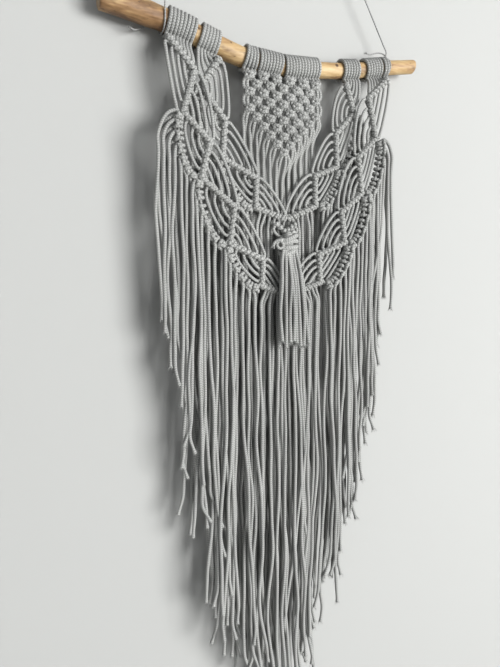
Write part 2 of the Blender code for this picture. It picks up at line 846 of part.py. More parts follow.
def main():
    for obj in list(bpy.data.objects):
        bpy.data.objects.remove(obj)
    build_rod()
    build_panel()
    garlands = {
        "outer_left": Garland("outer_garland_left", OUTER_LEFT, OUTER_CORDS, OUTER_DEPTH),
        "outer_right": Garland("outer_garland_right", OUTER_RIGHT, OUTER_CORDS, OUTER_DEPTH),
        "inner_left": Garland("inner_garland_left", INNER_LEFT, INNER_CORDS, INNER_DEPTH),
        "inner_right": Garland("inner_garland_right", INNER_RIGHT, INNER_CORDS, INNER_DEPTH),
    }
    for name in LEAF_FRINGES:
        build_leaf_fringe(name, garlands)
    for name in POINT_FRINGES:
        build_point_fringe(name)
    for key, garland in garlands.items():
        garland.build([row[1] for row in LEAF_FRINGES.values() if row[0] == key])
    build_ties()
    build_tassel()
    build_hanger()


main()
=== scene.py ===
import math
import random

import bmesh
import bpy
from mathutils import Matrix, Vector, noise


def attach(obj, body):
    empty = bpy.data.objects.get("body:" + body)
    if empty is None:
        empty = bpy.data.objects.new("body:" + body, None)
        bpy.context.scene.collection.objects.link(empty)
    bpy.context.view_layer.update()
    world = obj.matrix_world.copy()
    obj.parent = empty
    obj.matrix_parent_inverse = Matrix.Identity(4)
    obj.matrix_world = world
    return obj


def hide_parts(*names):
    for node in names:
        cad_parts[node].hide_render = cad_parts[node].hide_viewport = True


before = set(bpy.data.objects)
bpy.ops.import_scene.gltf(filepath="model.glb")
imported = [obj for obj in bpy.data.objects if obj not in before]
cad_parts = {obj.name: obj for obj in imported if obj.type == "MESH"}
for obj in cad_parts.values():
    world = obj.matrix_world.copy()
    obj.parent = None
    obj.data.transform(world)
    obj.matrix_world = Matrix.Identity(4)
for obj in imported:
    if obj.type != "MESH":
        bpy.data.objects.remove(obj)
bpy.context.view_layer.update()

mm = 0.001
nailHeight = 338.0        # the nail above the level that z = 0 stands for in the tables


# Camera, at the photograph's place

cameraSettings = {
    "place": (-0.3494, -0.6534, -0.6448),
    "yaw": 24.83, "pitch": -5.36, "roll": -0.59,
    "lens": 28.07, "sensor": 36,
}


def makeCamera(s):
    yaw, pitch, roll = (math.radians(s[k]) for k in ("yaw", "pitch", "roll"))
    ahead = Vector((math.sin(yaw) * math.cos(pitch), math.cos(yaw) * math.cos(pitch),
                    math.sin(pitch)))
    right = Vector((math.cos(yaw), -math.sin(yaw), 0))
    up = right.cross(ahead)
    turnedRight = right * math.cos(roll) + up * math.sin(roll)
    turnedUp = up * math.cos(roll) - right * math.sin(roll)
    lens = bpy.data.cameras.new("camera")
    lens.sensor_fit = "VERTICAL"
    lens.sensor_height = s["sensor"]
    lens.lens = s["lens"]
    lens.clip_start = 0.01
    camera = bpy.data.objects.new("camera", lens)
    turn = Matrix((turnedRight, turnedUp, -ahead)).transposed().to_4x4()
    camera.matrix_world = Matrix.Translation(s["place"]) @ turn
    bpy.context.scene.collection.objects.link(camera)
    bpy.context.scene.camera = camera


makeCamera(cameraSettings)


# Shader maths

class Num:
    # A number in a shader

    def __init__(self, look, socket):
        self.look = look
        self.socket = socket

    def output(self, number):
        # Another output of the same node
        return Num(self.look, self.socket.node.outputs[number])

    def math(self, operation, *others):
        values = {n: v for n, v in enumerate((self,) + others)}
        return self.look.node("ShaderNodeMath", {"operation": operation}, values)

    def __add__(self, other):
        return self.math("ADD", other)

    def __mul__(self, other):
        return self.math("MULTIPLY", other)

    def __sub__(self, other):
        return self.math("SUBTRACT", other)

    def __rsub__(self, other):
        return self.look.node("ShaderNodeMath", {"operation": "SUBTRACT"},
                              {0: other, 1: self})

    __radd__ = __add__
    __rmul__ = __mul__

    def ramp(self, low, high):
        # 0 below low, 1 above high
        settings = {"interpolation_type": "SMOOTHSTEP"}
        return self.look.node("ShaderNodeMapRange", settings, {0: self, 1: low, 2: high})


class Look:
    # A material and the nodes in it

    def __init__(self, name, roughness):
        self.material = bpy.data.materials.new(name)
        self.material.use_nodes = True
        self.tree = self.material.node_tree
        self.shader = self.tree.nodes["Principled BSDF"]
        self.shader.inputs["Roughness"].default_value = roughness

    def plug(self, node, sockets):
        for key, value in sockets.items():
            if isinstance(value, Num):
                self.tree.links.new(value.socket, node.inputs[key])
            else:
                node.inputs[key].default_value = value

    def node(self, kind, settings=None, sockets=None, output=0):
        made = self.tree.nodes.new(kind)
        for key, value in (settings or {}).items():
            if key == "stops":
                ramp = made.color_ramp
                while len(ramp.elements) < len(value):
                    ramp.elements.new(1)
                for element, (place, color) in zip(ramp.elements, value):
                    element.position = place
                    element.color = (*color, 1)
            else:
                setattr(made, key, value)
        self.plug(made, sockets or {})
        return Num(self, made.outputs[output])

    def noise(self, place, scale, detail=2.0, stretch=(1, 1, 1)):
        stretched = self.node("ShaderNodeMapping", None, {"Vector": place, "Scale": stretch})
        return self.node("ShaderNodeTexNoise", None,
                         {"Vector": stretched, "Scale": scale, "Detail": detail})

    def mix(self, factor, first, second):
        return self.node("ShaderNodeMix", {"data_type": "RGBA"}, {
            "Factor": factor,
            6: first if isinstance(first, Num) else (*first, 1),
            7: second if isinstance(second, Num) else (*second, 1)}, 2)

    def finish(self, **sockets):
        self.plug(self.shader, {key.replace("_", " "): v for key, v in sockets.items()})
        return self.material


cordLook = {
    # dark is the colour of the dark fibres and of the painted shade in the braid's grooves
    "light": (0.445, 0.449, 0.432), "dark": (0.07, 0.071, 0.067), "roughness": 0.92,
    "stitch": 0.0030, "around": 4,                # a stitch's length, stitches round the cord
    "fibre": 900.0, "shade": 14.0,                # how fine the two noises are
    "plait": 0.35,                                # its share of the braid, the rest is stitch
    # the first of these sets how far the braid paints the grooves between its stitches dark:
    # painted shade
    "braidShadeTone": 0.8, "fibreTone": 0.5, "shadeTone": 0.3, "baseTone": 0.3,
    "braidRise": 0.8, "fibreRise": 0.4, "relief": 0.6, "depth": 0.0006,
}


def makeCordLook(name, s):
    look = Look(name, s["roughness"])
    along = look.node("ShaderNodeAttribute", {"attribute_name": "along"}, output=2)
    turn = look.node("ShaderNodeAttribute", {"attribute_name": "turn"}, output=1)
    sides = look.node("ShaderNodeSeparateXYZ", None, {0: turn})
    column = sides.output(1).math("ARCTAN2", sides) * (s["around"] / 2 / math.pi)
    lean = column.math("PINGPONG", 0.5) * 2
    plait = (lean * math.pi).math("SINE")
    row = along * (1 / s["stitch"]) + lean * 0.5
    stitch = (row * (2 * math.pi)).math("SINE") * 0.5 + 0.5
    braid = plait * s["plait"] + stitch * (1 - s["plait"])
    place = look.node("ShaderNodeTexCoord", output=3)
    fibre = look.noise(place, s["fibre"])
    shade = look.noise(place, s["shade"], 1.0)
    # the braid paints the grooves between stitches towards the dark colour: painted shade there,
    # on top of the random tone of the two noises
    tone = braid * s["braidShadeTone"] + fibre * s["fibreTone"] + shade * s["shadeTone"]
    tone = tone - s["baseTone"]
    bump = look.node("ShaderNodeBump", None, {
        "Strength": s["relief"], "Distance": s["depth"],
        "Height": braid * s["braidRise"] + fibre * s["fibreRise"]})
    return look.finish(Base_Color=look.mix(tone, s["dark"], s["light"]), Normal=bump)


woodLook = {
    "stops": ((0.0, (0.15, 0.075, 0.028)), (0.3, (0.27, 0.155, 0.068)),
              (0.5, (0.37, 0.24, 0.108)), (0.75, (0.45, 0.315, 0.155)),
              (1.0, (0.54, 0.41, 0.215))),
    "barkColor": (0.10, 0.05, 0.022), "speckColor": (0.075, 0.04, 0.02),
    "endColor": (0.42, 0.30, 0.17), "roughness": 0.55,
    # noises: scale, detail, stretch
    "grain": (5.0, 6.0, (9, 70, 70)), "streak": (1.0, 3.0, (14, 60, 60)),
    "mottle": (60.0, 3.0, (0.5, 1, 1)), "bark": (1.0, 4.0, (30, 70, 70)),
    "speck": (260.0, 2.0, (0.45, 1, 1)),
    # shares of the tone, and how much darker it gets towards the left end
    "grainTone": 0.9, "streakTone": 1.1, "mottleTone": 0.7, "baseTone": 0.8,
    "leftwardSlope": -1.9, "leftwardStart": 0.1, "leftwardTone": 0.9, "leftwardBark": 0.45,
    # where bark and specks begin and are full, and how much they cover
    "barkRange": (0.56, 0.74), "speckRange": (0.66, 0.72), "cover": 0.7,
    # side knots: place, size; their middle and rim as shares of it
    "knots": ((-0.1185, -0.0118, -0.3275, 0.0020), (0.088, -0.0103, -0.337, 0.0026),
              (-0.075, -0.011, -0.336, 0.0014)),
    "knotRange": (0.6, 1.5),
    # the sawn ends: y and z of the rings' middle, their spacing, contrast and tone
    "endMiddle": (0.0, -0.314), "ring": 0.0016, "ringTone": 0.25, "ringBase": 0.4,
    "ringGrain": 0.3, "endRange": (0.75, 0.9),
    "relief": 0.6, "depth": 0.0012, "speckRise": -0.4,
}


def makeWoodLook(s):
    look = Look("peeledWood", s["roughness"])
    place = look.node("ShaderNodeTexCoord", output=3)
    grain = look.noise(place, *s["grain"])
    streak = look.noise(place, *s["streak"])
    sides = look.node("ShaderNodeSeparateXYZ", None, {0: place})
    # a ramp that grows towards the branch's left end, where the wood gets darker and more bark
    leftward = (sides * s["leftwardSlope"] - s["leftwardStart"]).math("MAXIMUM", 0.0)
    mottle = look.noise(place, *s["mottle"])
    tone = grain * s["grainTone"] + streak * s["streakTone"] + mottle * s["mottleTone"]
    tone = tone - s["baseTone"] - leftward * s["leftwardTone"]
    color = look.node("ShaderNodeValToRGB", {"stops": s["stops"]}, {"Fac": tone})
    bark = look.noise(place, *s["bark"]) + leftward * s["leftwardBark"]
    color = look.mix(bark.ramp(*s["barkRange"]) * s["cover"], color, s["barkColor"])
    speck = look.noise(place, *s["speck"])
    color = look.mix(speck.ramp(*s["speckRange"]) * s["cover"], color, s["speckColor"])
    middle, rim = s["knotRange"]
    for x, y, z, size in s["knots"]:
        away = look.node("ShaderNodeVectorMath", {"operation": "DISTANCE"},
                         {0: place, 1: (x, y, z)}, 1)
        color = look.mix(1 - away.ramp(size * middle, size * rim), color, s["speckColor"])
    normal = look.node("ShaderNodeSeparateXYZ", None,
                       {0: look.node("ShaderNodeNewGeometry", output=1)})
    y = sides.output(1) - s["endMiddle"][0]
    z = sides.output(2) - s["endMiddle"][1]
    wave = ((y * y + z * z).math("SQRT") * (2 * math.pi / s["ring"])).math("SINE")
    rings = wave * s["ringTone"] + s["ringBase"]
    cut = look.mix(rings + grain * s["ringGrain"], s["barkColor"], s["endColor"])
    color = look.mix(normal.math("ABSOLUTE").ramp(*s["endRange"]), color, cut)
    bump = look.node("ShaderNodeBump", None, {
        "Strength": s["relief"], "Distance": s["depth"],
        "Height": grain + speck * s["speckRise"]})
    return look.finish(Base_Color=color, Normal=bump)


cordMaterial = makeCordLook("braidedCord", cordLook)
# the twine's twist paints its grooves towards its dark colour the same way: painted shade
twineMaterial = makeCordLook("twistedTwine", dict(
    cordLook, stitch=0.004, around=1, dark=(0.16, 0.16, 0.155), light=(0.40, 0.40, 0.39)))
woodMaterial = makeWoodLook(woodLook)
print("materials made")


# Cords: paths of (x, y, z, radius) in millimetres, swept into one mesh for each piece

# radius where the cord is free, in the arcs and inside the bars
cord = {"radius": 2.35, "nest": 2.15, "leader": 2.0}
pathSteps = {"short": 2.3, "long": 6.0, "longSpan": 14.0}     # the long step from that span on


def sheetPoint(p, y, radius):
    # A path point from a place on a sheet, as flat() gives it, and its depth
    return Vector((p.x, y, p.y, radius))


def bezier(a, b, c, d, t):
    s = 1 - t
    return a * s**3 + b * (3 * s * s * t) + c * (3 * s * t * t) + d * t**3


def unit(v):
    return v / v.length      # Blender's own skips the radius


def flow(keys, short=pathSteps["short"], long=pathSteps["long"]):
    # A smooth path through the keys, its points closer together where the keys are
    ways = [unit(b - a) for a, b in zip(keys, keys[1:])]
    ways = [unit(a + b) for a, b in zip(ways[:1] + ways, ways + ways[-1:])]
    path = []
    for a, b, way, nextWay in zip(keys, keys[1:], ways, ways[1:]):
        span = (b - a).length
        count = max(1, round(span / (short if span < pathSteps["longSpan"] else long)))
        reach = span / 3
        for number in range(count):
            path.append(bezier(a, a + way * reach, b - nextWay * reach, b, number / count))
    return path + [keys[-1]]


def makeSkinGroup(sides):
    # Sweeps a circle along the paths; a point keeps how far along and around the cord it is
    group = bpy.data.node_groups.new("cordSkin%d" % sides, "GeometryNodeTree")
    group.interface.new_socket("Geometry", in_out="INPUT", socket_type="NodeSocketGeometry")
    group.interface.new_socket("Geometry", in_out="OUTPUT", socket_type="NodeSocketGeometry")
    add = group.nodes.new
    link = group.links.new
    start = add("NodeGroupInput")
    end = add("NodeGroupOutput")
    length = add("GeometryNodeSplineParameter")
    keepLength = add("GeometryNodeStoreNamedAttribute")
    keepLength.inputs["Name"].default_value = "along"
    circle = add("GeometryNodeCurvePrimitiveCircle")
    circle.inputs["Resolution"].default_value = sides
    circle.inputs["Radius"].default_value = 1
    position = add("GeometryNodeInputPosition")
    keepTurn = add("GeometryNodeStoreNamedAttribute")
    keepTurn.data_type = "FLOAT_VECTOR"
    keepTurn.inputs["Name"].default_value = "turn"
    tube = add("GeometryNodeCurveToMesh")
    tube.inputs["Fill Caps"].default_value = True
    radius = add("GeometryNodeInputRadius")
    smooth = add("GeometryNodeSetShadeSmooth")
    link(start.outputs[0], keepLength.inputs["Geometry"])
    link(length.outputs["Length"], keepLength.inputs["Value"])
    link(circle.outputs[0], keepTurn.inputs["Geometry"])
    link(position.outputs[0], keepTurn.inputs["Value"])
    link(keepLength.outputs[0], tube.inputs["Curve"])
    link(keepTurn.outputs[0], tube.inputs["Profile Curve"])
    link(radius.outputs[0], tube.inputs["Scale"])
    link(tube.outputs[0], smooth.inputs["Geometry"])
    link(smooth.outputs[0], end.inputs[0])
    return group


skinGroups = {}


def sweep(name, paths, material, sides=8):
    if sides not in skinGroups:
        skinGroups[sides] = makeSkinGroup(sides)
    curve = bpy.data.curves.new(name, "CURVE")
    curve.dimensions = "3D"
    for path in paths:
        spline = curve.splines.new("POLY")
        spline.points.add(len(path) - 1)
        places = []
        for x, y, z, radius in path:
            places += [x * mm, y * mm, (z - nailHeight) * mm, 1]
        spline.points.foreach_set("co", places)
        spline.points.foreach_set("radius", [p[3] * mm for p in path])
    source = bpy.data.objects.new(name + "Paths", curve)
    bpy.context.scene.collection.objects.link(source)
    skin = source.modifiers.new("skin", "NODES")
    skin.node_group = skinGroups[sides]
    bpy.context.view_layer.update()
    evaluated = source.evaluated_get(bpy.context.evaluated_depsgraph_get())
    mesh = bpy.data.meshes.new_from_object(evaluated)
    bpy.data.objects.remove(source)
    mesh.name = name
    mesh.materials.clear()
    mesh.materials.append(material)
    piece = bpy.data.objects.new(name, mesh)
    bpy.context.scene.collection.objects.link(piece)
    return piece


def stand(piece, slot, *nodes):
    # Puts a finished piece on the object, in the place of its CAD nodes
    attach(piece, "root")
    if nodes:
        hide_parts(*nodes)
    print(piece.name, len(piece.data.polygons), "faces")


# Loose fibres at cut ends
frayed = {
    "fibres": 9, "length": (2.5, 6.0), "spread": (0.15, 0.7), "thick": 0.34, "thin": 0.14,
    "uneven": 0.3, "root": (0.3, 0.85), "bend": 0.1,
}
fibrePaths = []


def fray(path, chance, size=1.0, count=frayed["fibres"]):
    s = frayed
    tip = path[-1].xyz
    ahead = (tip - path[-3].xyz).normalized()
    side = ahead.cross(Vector((0, 1, 0))).normalized()
    other = ahead.cross(side)
    for number in range(count):
        angle = 2 * math.pi * (number + chance.uniform(-s["uneven"], s["uneven"])) / count
        out = side * math.cos(angle) + other * math.sin(angle)
        reach = chance.uniform(*s["length"]) * size
        start = tip + out * (path[-1].w * chance.uniform(*s["root"])) - ahead
        end = start + ahead * reach + out * (reach * chance.uniform(*s["spread"]))
        middle = start.lerp(end, 0.5) + ahead * (reach * s["bend"])
        fibrePaths.append([Vector((*start, s["thick"])), Vector((*middle, s["thick"])),
                           Vector((*end, s["thin"]))])


def flat(x, z):
    # A place on one of the hanging's sheets
    return Vector((x, z))


def turned(v):
    # A quarter turn to the left, seen from the front
    return flat(-v.y, v.x)


def read(table, at, column=1):
    # Value of a table's column at a place in its first column, straight between rows
    rows = sorted(table)
    if at <= rows[0][0]:
        return rows[0][column]
    for low, high in zip(rows, rows[1:]):
        if at <= high[0]:
            part = (at - low[0]) / (high[0] - low[0])
            return low[column] + part * (high[column] - low[column])
    return rows[-1][column]


# Branch: x, z of its middle, radius
rodTable = (
    (-238, 30, 14.4), (-189, 23.5, 14.6), (-139, 14, 13.2), (-97, 2, 12.8), (-47, -9, 12.2),
    (10, -11, 11.6), (74, -5, 10.9), (126, 3, 10.6), (174, 14, 10.3), (234, 25, 9.8),
)
branch = {
    "sides": 48, "step": 3.0,
    # how high, how often along and across
    "lumps": (0.035, 0.02, 1.2), "bumps": (0.014, 0.12, 3), "knots": (0.05, 1.6),
    # how far in from each end the edge is rounded, and the share of the radius there
    "round": ((0, 0.84), (0.8, 0.94), (2.2, 1.0)),
}


def makeBranch():
    s = branch
    lumps, lumpStep, lumpTurn = s["lumps"]
    bumps, bumpStep, bumpTurn = s["bumps"]
    knotRise, knotReach = s["knots"]
    keys = [Vector((x, 0, z, r)) for x, z, r in rodTable[1:-1]]
    ends = []
    for (x, z, r), inward in ((rodTable[0], 1), (rodTable[-1], -1)):
        ends.append([Vector((x + inward * back, 0, z, r * share)) for back, share in s["round"]])
    path = ends[0] + flow([ends[0][-1]] + keys + [ends[1][-1]], s["step"], s["step"])[1:-1]
    piece = sweep("branch", [path + ends[1][::-1]], woodMaterial, s["sides"])
    for v in piece.data.vertices:
        x = v.co.x / mm
        middle = Vector((v.co.x, 0, (read(rodTable, x) - nailHeight) * mm))
        out = v.co - middle
        way = out.normalized()
        lump = noise.noise(Vector((x * lumpStep, way.y * lumpTurn, way.z * lumpTurn)))
        bump = noise.noise(Vector((x * bumpStep, way.y * bumpTurn, way.z * bumpTurn + 7)))
        rise = 0
        for kx, ky, kz, size in woodLook["knots"]:
            rise += math.exp(-((v.co - Vector((kx, ky, kz))).length / (size * knotReach)) ** 2)
        v.co = middle + out * (1 + lumps * lump + bumps * bump + knotRise * rise)
    stand(piece, "wood", "rod")


# Wraps: first x, last x, cords folded over the branch side by side
wraps = {
    "outerLeft": ((-157.6, -121.2, 4),),
    "outerRight": ((139, 167, 3), (169.8, 179.2, 1)),
    "innerLeft": ((-115, -90, 3),),
    "innerRight": ((99, 127, 3),),
    "panel": ((-54, -36.4, 2), (-34.2, 1.6, 4), (4.2, 60, 6)),
}
wrapTurn = {
    # the fold below the branch: each side's step, how far back and down, radius
    "foldStep": 0.2, "foldBack": (1.0, 1.6), "foldDown": (3.4, 3.2), "foldThick": 2.3,
    # back and up as shares of the branch's radius, each with what is added
    "behind": (0.35, 3.0, -0.9, -2.0), "below": (-0.45, -2.8, -1.0, -7.5), "pressed": 0.2,
    # the way up behind the branch and down its front, in degrees
    "angles": (-150, -180, -225, -270, -315, -345, -365, -390, -412, -428),
    "clear": 0.2, "slopeReach": 6,
    "splitAt": 2.9, "split": 2.4, "splitReach": 8.0,   # where two heads part below
}


def folded(legs):
    # One path for each folded cord, from the end of one leg over the fold to the other end
    return [flow(a[::-1] + b) for a, b in zip(legs[::2], legs[1::2])]


def cordPlaces(rows):
    # x of each strand that leaves the wraps with the x of its fold, two for each folded cord
    places = []
    for firstX, lastX, count in rows:
        pitch = (lastX - firstX) / (2 * count)
        for n in range(2 * count):
            places.append((firstX + (n + 0.5) * pitch, firstX + 2 * (n // 2 + 0.5) * pitch))
    return places


def wrapLeg(x, foldX):
    # Half of a cord folded over the branch: from the middle of the fold, which lies hidden
    # below it, up behind it, over the top and down its front, square to its slope
    s = wrapTurn
    side = math.copysign(1, x - foldX)
    middle, r = read(rodTable, x), read(rodTable, x, 2)
    reach = s["slopeReach"]
    slope = (read(rodTable, x + reach) - read(rodTable, x - reach)) / (2 * reach)
    away = x - s["splitAt"]
    split = math.copysign(s["split"], away) * math.exp(-abs(away) / s["splitReach"])
    thick = cord["radius"]

    def spotAt(place, w):
        backShare, back, upShare, up = place
        return x, backShare * r + back, upShare * r + up, w

    # x, back, up from the branch's middle, radius
    step = side * s["foldStep"]
    spots = [(px, back, -r - down, s["foldThick"])
             for px, back, down in zip((foldX + step, x - step), s["foldBack"], s["foldDown"])]
    spots.append(spotAt(s["behind"], thick))
    around = r + s["clear"] + thick
    for angle in map(math.radians, s["angles"]):
        spots.append((x, -around * math.cos(angle), around * math.sin(angle), thick))
    spots.append(spotAt(s["below"], thick - s["pressed"]))
    return [Vector((px - slope * z + split * max(0, -z / r), y, middle + z, w))
            for px, y, z, w in spots]


# Garlands: z and y of their sheets, then the corners of each zigzag as (x, z)

outerDepth = ((10, -15.5), (-40, -19.5), (-100, -22.5), (-210, -27.5), (-330, -32.5))
innerDepth = ((10, -15.0), (-25, -14.5), (-58, -10.5), (-110, -11.5), (-220, -18.0))
garlands = {
    "outerLeft": {"cords": 8, "depth": outerDepth, "node": "outer_garland_left", "corners": (
        (-160.5, -7), (-128, -43), (-145, -96), (-111, -128), (-124, -174), (-80, -207),
        (-88, -255), (-41, -274), (-44, -309), (-4.2, -321))},
    "outerRight": {"cords": 8, "depth": outerDepth, "node": "outer_garland_right", "corners": (
        (173, -7), (136, -41), (147, -97), (116, -127), (120, -178), (85, -206),
        (89, -249), (46, -266), (47, -305), (-3.8, -321))},
    "innerLeft": {"cords": 6, "depth": innerDepth, "node": "inner_garland_left", "corners": (
        (-92, -20), (-117, -57), (-85, -96), (-90, -144), (-43, -166), (-45, -205),
        (0.8, -219))},
    "innerRight": {"cords": 6, "depth": innerDepth, "node": "inner_garland_right", "corners": (
        (100, -24), (117, -62), (86, -94), (86, -141), (49, -156), (48, -198), (1.2, -219))},
}
bars = {
    "half": 5.3, "pitch": 5.0, "thick": 2.85,
    # the cord's thickness at most, as a share of the bar's half width and of a loop's room
    "widthShare": 0.55, "roomShare": 0.48,
    # a hitch in half turns: where it starts and how far past its loops it ends
    "start": 0.22, "past": 0.6, "keys": 7, "cellShare": 0.9,
    "leaderShares": (0.06, 0.5, 0.94),
}
nests = {
    "arcs": 4, "first": 0.06, "last": 0.78,      # strands seen, and their places on a bar
    "crowded": 0.4,                              # the ones in the corner share one place
    "sink": 5.0,                                 # and lie that far back
    # how far an arc swings out where it leaves a bar and where it enters the next one, by the
    # place of its corner
    "top": (0.05, 0.06), "outward": (0.2, 0.15), "inwardLeft": (0.14, 0.1),
    "inwardRight": (0.2, 0.12), "behind": 1.2,
    "keys": 5, "uneven": 0.9,
}


class Garland:
    # A zigzag of knotted bars with the strands nested in each of its corners

    def __init__(self, name, corners, cords, depth, half=bars["half"]):
        self.corners = [flat(*c) for c in corners]
        self.cells = cords - 1
        self.depth = depth
        self.half = half
        self.ends = self.miters()
        self.chance = random.Random(name)

    def miters(self):
        found = []
        last = len(self.corners) - 1
        for n, corner in enumerate(self.corners):
            before = corner - self.corners[n - 1] if n else self.corners[1] - corner
            after = self.corners[n + 1] - corner if n < last else before
            normal = (turned(before.normalized()) + turned(after.normalized())).normalized()
            found.append(normal * (self.half / normal.dot(turned(after.normalized()))))
        return found

    def heading(self, bar):
        return (self.corners[bar + 1] - self.corners[bar]).normalized()

    def section(self, bar, share):
        # Middle of a bar and half of its width, towards its left side
        return (self.corners[bar].lerp(self.corners[bar + 1], share),
                self.ends[bar].lerp(self.ends[bar + 1], share))

    def nestSide(self, corner):
        # 1 where the strands of a corner lie left of the bars' heading, else -1
        return 1 if self.heading(corner - 1).cross(self.heading(corner)) > 0 else -1

    def edge(self, bar, share, side):
        middle, half = self.section(bar, share)
        return middle + half * side

    def hitch(self, bar, cell, side):
        # Half hitches round the leader: in from behind, leaving on the given side
        s = bars
        length = (self.corners[bar + 1] - self.corners[bar]).length
        loops = max(1, round(length / self.cells / s["pitch"]))
        thick = min(s["thick"], self.half * s["widthShare"],
                    s["roomShare"] * length / self.cells / loops)
        first, last = s["start"], 2 * loops + s["past"]
        steps = s["keys"] * loops + 2
        keys = []
        for n in range(steps + 1):
            theta = math.pi * (first + (last - first) * n / steps)
            share = (cell + 0.5 + s["cellShare"] * (n / steps - 0.5)) / self.cells
            middle, half = self.section(bar, share)
            reach = self.half - thick
            p = middle - half.normalized() * (side * math.cos(theta) * reach)
            keys.append(sheetPoint(p, read(self.depth, middle.y) + math.sin(theta) * reach, thick))
        return keys

    def nestCurve(self, corner, strand):
        # The way of a strand across a corner, and how far back it lies
        s = nests
        side = self.nestSide(corner)
        arcs = min(s["arcs"], self.cells)
        place = min(strand, arcs - s["crowded"]) / (arcs - 1)
        share = s["first"] + (s["last"] - s["first"]) * place
        p = self.edge(corner - 1, share, side)
        q = self.edge(corner, 1 - share, side)
        leave = turned(self.heading(corner - 1)) * side
        enter = turned(self.heading(corner)) * side
        kind = "top" if corner == 1 or p.x > 0 else "outward"
        if leave.x * p.x < 0:
            kind = "inwardRight" if p.x > 0 else "inwardLeft"
        span = (q - p).length
        curve = (p, p + leave * (s[kind][0] * span), q + enter * (s[kind][1] * span), q)
        return curve, s["sink"] if strand >= arcs else s["behind"]

    def nestKeys(self, corner, strand):
        curve, back = self.nestCurve(corner, strand)
        s = nests
        lift = self.chance.uniform(-1, 1) * s["uneven"]
        shift = self.chance.uniform(-1, 1) * s["uneven"]
        across = turned((curve[3] - curve[0]).normalized())
        keys = []
        for n in range(s["keys"] + 1):
            t = n / s["keys"]
            swell = math.sin(math.pi * t)
            p = bezier(*curve, t) + across * (shift * swell)
            keys.append(sheetPoint(p, read(self.depth, p.y) + lift * swell + back, cord["nest"]))
        return keys

    def strandPath(self, strand, top):
        # The whole way of one knotted cord, from the wraps to the last bar
        keys = list(top)
        cell = strand
        last = len(self.corners) - 2
        for bar in range(last + 1):
            side = self.nestSide(bar + 1) if bar < last else -self.nestSide(bar)
            keys += self.hitch(bar, cell, side)
            if bar < last:
                keys += self.nestKeys(bar + 1, cell)
                cell = self.cells - 1 - cell
        return keys

    def leaderPath(self, top):
        keys = list(top)
        for bar in range(len(self.corners) - 1):
            for share in bars["leaderShares"]:
                p = self.section(bar, share)[0]
                keys.append(sheetPoint(p, read(self.depth, p.y), cord["leader"]))
        return keys

    def paths(self, rows):
        legs = [wrapLeg(*place) for place in cordPlaces(rows)]
        rightwards = self.corners[1].x > self.corners[0].x
        order = range(len(legs)) if rightwards else range(len(legs) - 1, -1, -1)
        for strand, place in enumerate(order):
            if strand:
                legs[place] = self.strandPath(strand - 1, legs[place])
            else:
                legs[place] = self.leaderPath(legs[place])
        return folded(legs)


knotted = {name: Garland(name, row["corners"], row["cords"], row["depth"])
           for name, row in garlands.items()}


def makeGarlands():
    for name, garland in knotted.items():
        piece = sweep(name + "Garland", garland.paths(wraps[name]), cordMaterial, 10)
        stand(piece, "cord", garlands[name]["node"])


# Fringe

# x and z of the line that it is cut to
trim = (
    (-178, -350), (-166, -395), (-155, -430), (-140, -490), (-130, -600), (-112, -650),
    (-100, -730), (-84, -795), (-55, -850), (-18, -925), (8, -905), (32, -830), (56, -775),
    (80, -715), (98, -630), (125, -525), (146, -440), (160, -350), (176, -300),
)
fringe = {
    # unevenness of the cut, lean of a whole strand and of its tip, a path point every so far
    "spread": 16.0, "sway": 15.0, "flick": 4.0, "keySpan": 22,
    "settle": 90.0, "settled": 0.45, "deep": 3.0,     # how the rows mix further down
    # waves: height of a strand's own and what is added below, height with its neighbours
    "own": (4.0, 3.0), "shared": 10.0, "forward": 1.6, "leanPower": 1.6,
    # how often they come along a strand, and across for the shared one
    "ownStep": 0.011, "sharedStep": 0.006, "sharedAcross": 0.02, "forwardStep": 0.02,
    "fullSway": 400,                                  # the length that sways in full
    "neck": 2.2, "flare": 2.95, "flareLength": 4.5,   # the cut end
}
# garland, corner, strands, x where the first and the last hang, y, bulge
leafFringes = {
    "fringe_outer_left_1": ("outerLeft", 3, 14, -178, -134.5, -24.2, 0.15),
    "fringe_outer_left_2": ("outerLeft", 5, 12, -129.5, -98, -28.7, 0.15),
    "fringe_outer_left_3": ("outerLeft", 7, 12, -92, -54, -33.2, 0.15),
    "fringe_outer_right_1": ("outerRight", 3, 14, 172, 130, -24.2, 0.15),
    "fringe_outer_right_2": ("outerRight", 5, 12, 125, 98, -28.7, 0.15),
    "fringe_outer_right_3": ("outerRight", 7, 12, 92, 57, -33.2, 0.15),
    "fringe_inner_left_1": ("innerLeft", 2, 10, -122, -99, -10.7, 0.1),
    "fringe_inner_left_2": ("innerLeft", 4, 14, -94, -56, -15.1, 0.1),
    "fringe_inner_right_1": ("innerRight", 2, 10, 124, 97, -10.7, 0.1),
    "fringe_inner_right_2": ("innerRight", 4, 14, 92, 57, -15.1, 0.1),
}
pointRise, pointDrop = (6, 2), 12       # roots inside the bar, start of the free part below it
